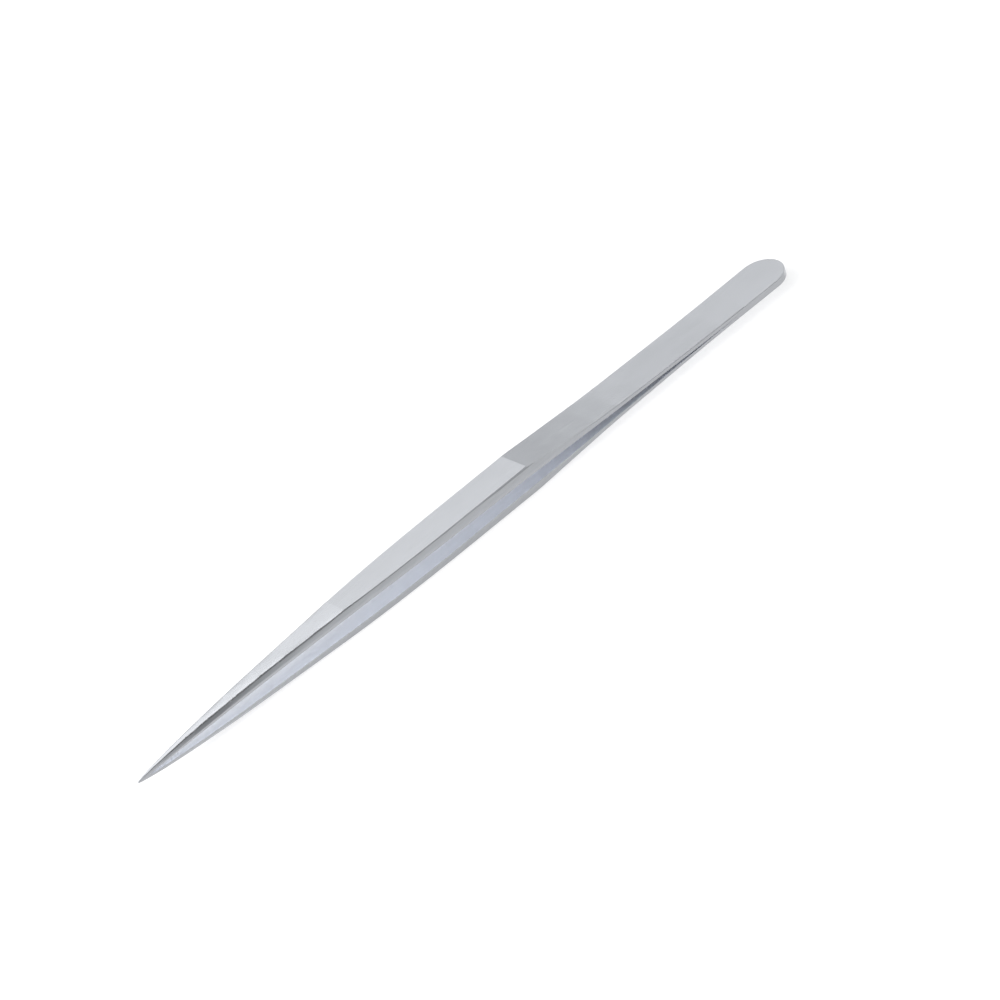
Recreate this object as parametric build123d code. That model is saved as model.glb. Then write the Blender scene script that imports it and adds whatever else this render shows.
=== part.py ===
from build123d import *
import os

# Fine-point tweezers: two ground steel arms, welded face to face at the handle end.
# +X runs from the points to the handle end, +Z is up, and the lower arm's grip flat lies on z = 0.

length = 140.0            # over all, points to handle end
handle_width = 7.75       # widest, and the diameter of the rounded handle end
tip_width = 0.20          # of each point, seen from above
tip_thick = 0.13          # of each point, seen from the side
touch = 2.0               # length over which the points meet
gap = 2.56                # widest gap between the closed arms
spring_thick = 0.57       # thin spring part of each arm
weld_length = 11.0        # faces joined at the handle end
crease = 82.7             # from the points to the crease, where the hollow grind starts
grind_radius = 270.0      # of the wheel that ground the spring part
crease_step = 0.10        # small riser left at the crease
grip_half = 2.56          # from the mid-plane to the grip's outer flat
land = 0.54               # upright part of each side, below the bevel
bevel = 0.40              # widest bevel, seen from above
bevel_round = 0.45        # rounding between the bevel and the outer face
flat_cut = 0.03           # ground off the grip at the end, which leaves it flat
soft_edge = 0.12          # rounding of the spring part's outer edges

# Each curve has its stations in its first column: 0 at the points, 1 at the crease, 2 at the
# handle end. The other columns are shares of the named size.

# Half width, of half the handle's.
taper = [(0.048, 0.119), (0.112, 0.212), (0.205, 0.335), (0.306, 0.439), (0.410, 0.542),
         (0.511, 0.653), (0.614, 0.759), (0.699, 0.826), (0.795, 0.862), (0.940, 0.877),
         (1.088, 0.916), (1.298, 0.955), (1.614, 0.973)]

# Inner face of each arm, of half the gap.
bow = [(0.043, 0.12), (0.082, 0.27), (0.143, 0.45), (0.253, 0.69), (0.410, 0.88), (0.651, 1.0),
       (0.867, 0.84), (1.053, 0.69), (1.254, 0.45), (1.474, 0.23)]

# Outer face, of the grip's; then the land and the bevel, of theirs. Past the hollow grind the
# bevel starts above the spring part and cuts nothing.
blade = [(0.041, 0.262, 0.37, 0.33), (0.082, 0.405, 0.48, 0.55), (0.120, 0.517, 0.59, 0.75),
         (0.164, 0.617, 0.70, 0.95), (0.241, 0.741, 0.81, 1.0), (0.325, 0.842, 0.89, 0.97),
         (0.410, 0.904, 0.93, 0.85), (0.554, 1.0, 1.0, 0.75), (0.723, 1.0, 1.0, 0.75),
         (0.867, 1.0, 1.0, 0.80), (1.0, 1.0, 1.0, 1.0), (1.193, 1.0, 1.0, 1.0),
         (1.404, 1.0, 1.4, 1.0), (1.720, 1.0, 1.6, 1.0), (2.020, 1.0, 1.6, 1.0)]


def at(station):
    front = min(station, 1.0) * crease
    rear = max(station - 1.0, 0.0) * (length - crease)
    return front + rear - length / 2


def height(curve, x):
    low, high = 0.0, 1.0
    for _ in range(30):
        middle = (low + high) / 2
        low, high = (middle, high) if (curve @ middle).X < x else (low, middle)
    return (curve @ low).Y


round_start = at(2) - handle_width / 2
weld_start = at(2) - weld_length
side_line = Spline((at(0), tip_width / 2), *[(at(s), k * handle_width / 2) for s, k in taper],
                   (round_start, handle_width / 2), tangents=[(1.0, 0.1), (1.0, 0.0)],
                   tangent_scalars=[1, 1])
inner = Spline((at(0) + touch, 0), *[(at(s), k * gap / 2) for s, k in bow],
               (weld_start, 0), tangents=[(1.0, 0.1), (1.0, 0.0)], tangent_scalars=[1, 1])


def half_width(x):
    return height(side_line, x)


def inner_height(x):
    return height(inner, x)


def hollow_line():
    # The wheel's circle, laid on the bowed arm, runs out into the spring part.
    extra = grip_half - crease_step - inner_height(at(1)) - spring_thick
    reach = (2 * grind_radius * extra) ** 0.5
    steps = [at(1) + (weld_start - at(1)) * k / 10 for k in range(11)]
    ground = [max(0, at(1) + reach - x) ** 2 / (2 * grind_radius) for x in steps]
    return Spline(*[(x, inner_height(x) + spring_thick + z) for x, z in zip(steps, ground)],
                  tangents=[(1.0, -reach / grind_radius), (1.0, 0.0)])


def side_profile():
    hollow = hollow_line()
    past = spring_thick
    handle = Polyline(hollow @ 1, (at(2) + past, spring_thick), (at(2) + past, 0), inner @ 1)
    points = Polyline(inner @ 0, (at(0) - past, 0), (at(0) - past, grip_half), (at(1), grip_half), hollow @ 0)
    return make_face([inner, handle, hollow, points])


def outline():
    near = mirror(side_line, Plane.XZ)
    round_end = ThreePointArc(side_line @ 1, (at(2), 0), near @ 1)
    return make_face([side_line, round_end, near, Line(side_line @ 0, near @ 0)])


def blade_section(x, top, upright, slant):
    # The bevel's line runs on outwards below the land, so only its upper part cuts.
    half, side = half_width(x), inner_height(x) + upright
    low, wide = side - 2 * (top - side), half + 2 * slant
    corners = [(-wide, -2 * top), (wide, -2 * top), (wide, low), (half - slant, top),
               (slant - half, top), (-wide, low)]
    section = make_face(Polyline(*corners, close=True))
    ridge = section.vertices().filter_by(lambda v: v.Y > top - 0.001)
    section = fillet(ridge, bevel_round * slant / bevel)
    return Plane(origin=(x, 0, 0), x_dir=(0, 1, 0), z_dir=(1, 0, 0)) * section


def arm():
    rows = [(at(s), a * (grip_half + flat_cut), b * land, c * bevel) for s, a, b, c in blade]
    point = blade_section(at(0), tip_thick, tip_thick / 2, tip_width / 6)
    bevelled = loft([point] + [blade_section(*row) for row in rows])
    side = extrude(Plane.XZ * side_profile(), handle_width, both=True)
    flat = extrude(outline(), 2 * grip_half, both=True)
    return soften(flat & side & bevelled)


def soften(body):
    # The outer edges behind the bevels, round the handle end and back.
    def is_outer(edge):
        mid = edge @ 0.5
        at_side = mid.X > round_start or abs(abs(mid.Y) - half_width(mid.X)) < 0.01
        return at_side and mid.X > at(1) and mid.Z > spring_thick / 2
    edges = body.edges().filter_by(is_outer).filter_by(GeomType.LINE, reverse=True)
    return fillet(edges, soft_edge)


upper = Pos(0, 0, grip_half) * arm()
lower = mirror(upper, Plane.XY.offset(grip_half))

os.makedirs("parts", exist_ok=True)
export_step(upper, "parts/upper_arm.step")
export_step(lower, "parts/lower_arm.step")
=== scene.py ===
import math

import bmesh
import bpy
from mathutils import Matrix, Vector


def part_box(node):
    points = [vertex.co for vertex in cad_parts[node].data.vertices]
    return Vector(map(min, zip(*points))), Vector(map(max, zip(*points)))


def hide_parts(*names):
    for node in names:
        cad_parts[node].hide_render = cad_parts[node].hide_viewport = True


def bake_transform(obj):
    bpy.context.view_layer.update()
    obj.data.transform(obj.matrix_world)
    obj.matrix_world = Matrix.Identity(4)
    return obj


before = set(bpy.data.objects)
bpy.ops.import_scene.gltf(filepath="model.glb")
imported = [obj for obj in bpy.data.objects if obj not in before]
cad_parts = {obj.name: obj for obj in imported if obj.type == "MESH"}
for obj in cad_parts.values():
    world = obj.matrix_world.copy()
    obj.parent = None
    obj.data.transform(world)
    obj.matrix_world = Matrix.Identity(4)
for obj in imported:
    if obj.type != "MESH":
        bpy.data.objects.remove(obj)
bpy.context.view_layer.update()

# ---------------------------------------------------------------- the tweezers, in metres

POINT_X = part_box("upper_arm")[0].x        # the points
END_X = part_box("upper_arm")[1].x          # the handle end
SLICES = 140                              # slices of the upper arm

# ---------------------------------------------------------------- the steel

STEEL = (0.765, 0.78, 0.815)              # colour of the flats

# How the sides and the inner faces differ from the flats. These were set by the photograph's
# brightness. The sides' darkening is partly a duller finish and partly painted shade; the
# inner faces' brightening is painted light in the gap between the arms.
SIDE_DULLING_AND_PAINTED_SHADE, SIDE_ROUGHER = -0.48, 0.12
INNER_PAINTED_LIGHT, INNER_ROUGHER = 0.2, 0.35
SIDE_FACING = (0.55, 0.9)                 # part of the normal that points sideways
INNER_FACING = (0.8, 0.95)                # part of it that points at the other arm

ROUGHNESS = (0.205, 0.22)
NOISE_RANGE = (0.3, 0.7)                  # of a noise, which seldom goes past it
GRAIN = {"scale": 6000, "stretch": (0.06, 1, 1), "detail": 2.0}      # fine lines along the arm
MOTTLE = {"scale": 420, "stretch": (0.35, 1, 1), "detail": 3.0}      # soft, wider patches
GRAIN_TONE, MOTTLE_TONE = 0.02, 0.008
GRAIN_BUMP, GRAIN_DEPTH = 0.12, 0.00001

# ---------------------------------------------------------------- floor, lamps and room

FLOOR_SIZE = 30.0
FLOOR_DROP = 0.00002                      # keeps the floor clear of the lower arm
FLOOR_GREY = (0.55, 0.55, 0.55, 1)
FLOOR_GLOW = 0.6                          # brings the floor up to white where it is seen

# The far lamp is what the flat tops mirror to the camera: its lower edge stands a little above
# that direction, so a face that tilts back is darker and one that tilts forwards is brighter.
# The other two light the object from where none of its faces mirrors them to the camera.
# Each row is a name, azimuth from +X towards +Y, elevation, distance, size and radiance.
LAMPS = [
    ("far_softbox", 72, 50, 0.8, (0.62, 0.40), 0.9),
    ("left_softbox", 165, 42, 1.0, (0.9, 0.7), 3.0),
    ("front_softbox", -140, 58, 1.0, (0.7, 0.6), 1.5),
]

# The room that the steel mirrors: walls, lower in front of the tweezers than behind, under a
# light ceiling with one dark band across it. The top of each bevel mirrors that band to the
# camera near the points. A row says between which values of a direction's x or y the room
# changes, and from what to what.
NEAR_WALL = (0.1, 0.45, 0.85, 1.25)       # by x, brightness in front
NEAR_WALL_END = (0.5, 0.7, 1.25, 0.8)     # by x, its limit towards the handle end
FAR_WALL = 0.5                            # brightness behind
FRONT_TO_BACK = (-0.5, 0.6)               # by y, where the front wall gives way to the far one
WALL_TOP = (-0.3, 0.5, 0.2, 0.55)         # by y, height as a direction's z
WALL_TO_CEILING = 0.25                    # height over which the walls give way to the ceiling
BAND = 0.05                               # the dark band, as a share of the walls' brightness
BAND_START = (0.05, 0.17, 0.9, BAND)      # by x
BAND_END = (0.34, 0.46, BAND, 0.6)        # by x
ROOM_COLOUR = (0.97, 0.985, 1, 1)
WHITE = (1, 1, 1, 1)

# ---------------------------------------------------------------- the photograph's view

# The camera's own axes in the frame, and what the middle of the picture shows.
VIEW_RIGHT = Vector((0.70042, -0.65118, -0.29218))
VIEW_BACK = Vector((-0.43196, -0.71265, 0.55276))
VIEW_CENTRE = Vector((0.002868, -0.008494, 0.007525))
PICTURE_PIXELS, PIXELS_PER_METRE = 1000, 6540
LENS, SENSOR, CLIP_START = 1500.0, 36.0, 0.1    # a very long lens, for a nearly parallel view


# ---------------------------------------------------------------- node trees


class Tree:
    """The node tree of a material or a world, emptied, with short ways to fill it."""

    def __init__(self, owner):
        owner.use_nodes = True
        self.nodes = owner.node_tree.nodes
        self.links = owner.node_tree.links
        self.nodes.clear()

    def node(self, kind, **inputs):
        made = self.nodes.new(kind)
        for key, value in inputs.items():
            self.set(made, key.replace("_", " "), value)
        return made

    def set(self, node, socket, value):
        found = node.inputs[socket]
        if isinstance(value, bpy.types.NodeSocket):
            self.links.new(value, found)
        else:
            found.default_value = value

    def math(self, operation, a, b=None):
        made = self.nodes.new("ShaderNodeMath")
        made.operation = operation
        for i, value in enumerate((a, b)):
            if value is not None:
                self.set(made, i, value)
        return made.outputs[0]

    def times(self, a, b):
        return self.math("MULTIPLY", a, b)

    def total(self, first, *others):
        for other in others:
            first = self.math("ADD", first, other)
        return first

    def noise(self, vector, scale, stretch, detail):
        mapping = self.node("ShaderNodeMapping", Vector=vector, Scale=stretch)
        made = self.node("ShaderNodeTexNoise", Vector=mapping.outputs[0], Scale=scale, Detail=detail)
        return made.outputs["Fac"]

    def ramp(self, value, low, high, to_low, to_high):
        made = self.nodes.new("ShaderNodeMapRange")
        for i, entry in enumerate((value, low, high, to_low, to_high)):
            self.set(made, i, entry)
        return made.outputs[0]

    def end(self, kind, plain, seen, rays):
        """The output: `seen` for the named kinds of ray, `plain` for the light on things."""
        path = self.node("ShaderNodeLightPath")
        factor = path.outputs[rays[0]]
        for ray in rays[1:]:
            factor = self.math("MAXIMUM", factor, path.outputs[ray])
        mix = self.node("ShaderNodeMixShader")
        for i, value in enumerate((factor, plain.outputs[0], seen.outputs[0])):
            self.set(mix, i, value)
        self.node(kind, Surface=mix.outputs[0])


def satin_steel(name, inwards):
    """Stainless steel with faint lines along the arm. `inwards` is 1 where the arm's inner face
    looks up, and -1 where it looks down."""
    material = bpy.data.materials.new(name)
    tree = Tree(material)
    coordinates = tree.node("ShaderNodeTexCoord")
    place = coordinates.outputs["Object"]
    facing = tree.node("ShaderNodeSeparateXYZ", Vector=coordinates.outputs["Normal"])
    # Sides: rougher, and darker partly as a duller finish and partly as painted shade.
    side = tree.ramp(tree.math("ABSOLUTE", facing.outputs["Y"]), *SIDE_FACING, 0.0, 1.0)
    # Inner faces: rougher, and brighter by painted light in the gap between the arms.
    inner = tree.ramp(tree.times(facing.outputs["Z"], inwards), *INNER_FACING, 0.0, 1.0)
    grain = tree.noise(place, **GRAIN)
    mottle = tree.noise(place, **MOTTLE)
    tone = tree.total(tree.ramp(grain, *NOISE_RANGE, -GRAIN_TONE, GRAIN_TONE),
                      tree.ramp(mottle, *NOISE_RANGE, -MOTTLE_TONE, MOTTLE_TONE))
    rougher = tree.total(tree.times(side, SIDE_ROUGHER), tree.times(inner, INNER_ROUGHER))
    colour = tree.node("ShaderNodeVectorMath")
    colour.operation = "SCALE"
    tree.set(colour, 0, STEEL)
    tree.set(colour, "Scale", tree.total(tree.times(side, SIDE_DULLING_AND_PAINTED_SHADE),
                                         tree.times(inner, INNER_PAINTED_LIGHT), 1.0, tone))
    bump = tree.node("ShaderNodeBump", Strength=GRAIN_BUMP, Distance=GRAIN_DEPTH, Height=grain)
    shader = tree.node("ShaderNodeBsdfPrincipled", Metallic=1.0,
                       Base_Color=colour.outputs[0], Normal=bump.outputs[0],
                       Roughness=tree.total(tree.ramp(mottle, *NOISE_RANGE, *ROUGHNESS), rougher))
    tree.node("ShaderNodeOutputMaterial", Surface=shader.outputs[0])
    return material


def add(name, data):
    made = bpy.data.objects.new(name, data)
    bpy.context.scene.collection.objects.link(made)
    return made


# ---------------------------------------------------------------- the two arms


def shade(obj, material):
    obj.data.materials.clear()
    obj.data.materials.append(material)
    for face in obj.data.polygons:
        face.material_index = 0


def bending_arm(name, source):
    """A copy of the arm, cut across at even stations."""
    mesh = source.data.copy()
    arm = add(name, mesh)
    cuts = bmesh.new()
    cuts.from_mesh(mesh)
    for i in range(1, SLICES):
        x = POINT_X + (END_X - POINT_X) * i / SLICES
        bmesh.ops.bisect_plane(cuts, geom=cuts.verts[:] + cuts.edges[:] + cuts.faces[:],
                               plane_co=(x, 0, 0), plane_no=(1, 0, 0), dist=1e-7)
    cuts.to_mesh(mesh)
    cuts.free()
    return arm


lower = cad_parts["lower_arm"]
shade(lower, satin_steel("lower_arm_steel", 1))

upper = bending_arm("upper_arm_steel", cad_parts["upper_arm"])
shade(upper, satin_steel("upper_arm_steel", -1))
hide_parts("upper_arm")
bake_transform(upper)

# ---------------------------------------------------------------- floor

floor_mesh = bpy.data.meshes.new("floor")
half = FLOOR_SIZE / 2
corners = [(-half, -half, 0), (half, -half, 0), (half, half, 0), (-half, half, 0)]
floor_mesh.from_pydata(corners, [], [(0, 1, 2, 3)])
floor = add("floor", floor_mesh)
floor.location.z = -FLOOR_DROP

white = bpy.data.materials.new("floor_white")
tree = Tree(white)
plain = tree.node("ShaderNodeBsdfDiffuse", Color=FLOOR_GREY)
glow = tree.node("ShaderNodeEmission", Color=WHITE, Strength=FLOOR_GLOW)
both = tree.node("ShaderNodeAddShader")
tree.set(both, 0, plain.outputs[0])
tree.set(both, 1, glow.outputs[0])
tree.end("ShaderNodeOutputMaterial", plain, both,
         ("Is Camera Ray", "Is Glossy Ray", "Is Transmission Ray"))
floor_mesh.materials.append(white)

# ---------------------------------------------------------------- lamps


def softbox(name, azimuth, elevation, distance, size, radiance):
    """A rectangular lamp that faces the middle of the tweezers."""
    data = bpy.data.lights.new(name, "AREA")
    data.shape = "RECTANGLE"
    data.size, data.size_y = size
    data.energy = radiance * math.pi * size[0] * size[1]
    lamp = add(name, data)
    a, e = math.radians(azimuth), math.radians(elevation)
    towards = Vector((math.cos(e) * math.cos(a), math.cos(e) * math.sin(a), math.sin(e)))
    lamp.location = towards * distance
    lamp.rotation_euler = towards.to_track_quat("Z", "Y").to_euler()


for row in LAMPS:
    softbox(*row)

# ---------------------------------------------------------------- room

world = bpy.data.worlds.new("studio")
bpy.context.scene.world = world
tree = Tree(world)
coordinates = tree.node("ShaderNodeTexCoord")
direction = tree.node("ShaderNodeSeparateXYZ", Vector=coordinates.outputs["Generated"])
x, y, z = direction.outputs
near_wall = tree.math("MINIMUM", tree.ramp(x, *NEAR_WALL), tree.ramp(x, *NEAR_WALL_END))
walls = tree.ramp(y, *FRONT_TO_BACK, near_wall, FAR_WALL)
wall_top = tree.ramp(y, *WALL_TOP)
above = tree.math("MAXIMUM", tree.ramp(x, *BAND_START), tree.ramp(x, *BAND_END))
ceiling = tree.ramp(z, wall_top, tree.total(wall_top, WALL_TO_CEILING), 1.0, above)
room = tree.node("ShaderNodeBackground", Color=ROOM_COLOUR, Strength=tree.times(walls, ceiling))
backdrop = tree.node("ShaderNodeBackground", Color=WHITE, Strength=1.0)
tree.end("ShaderNodeOutputWorld", room, backdrop, ("Is Camera Ray", "Is Transmission Ray"))

# ---------------------------------------------------------------- camera

camera_data = bpy.data.cameras.new("camera")
camera_data.lens = LENS
camera_data.sensor_width = SENSOR
camera_data.clip_start = CLIP_START
camera = add("camera", camera_data)
back = VIEW_BACK.normalized()
right = (VIEW_RIGHT - VIEW_RIGHT.dot(back) * back).normalized()
camera.matrix_world = Matrix((right, back.cross(right), back)).transposed().to_4x4()
camera.location = VIEW_CENTRE + back * PICTURE_PIXELS / PIXELS_PER_METRE * LENS / SENSOR
bpy.context.scene.camera = camera
bpy.context.scene.view_settings.view_transform = "Standard"
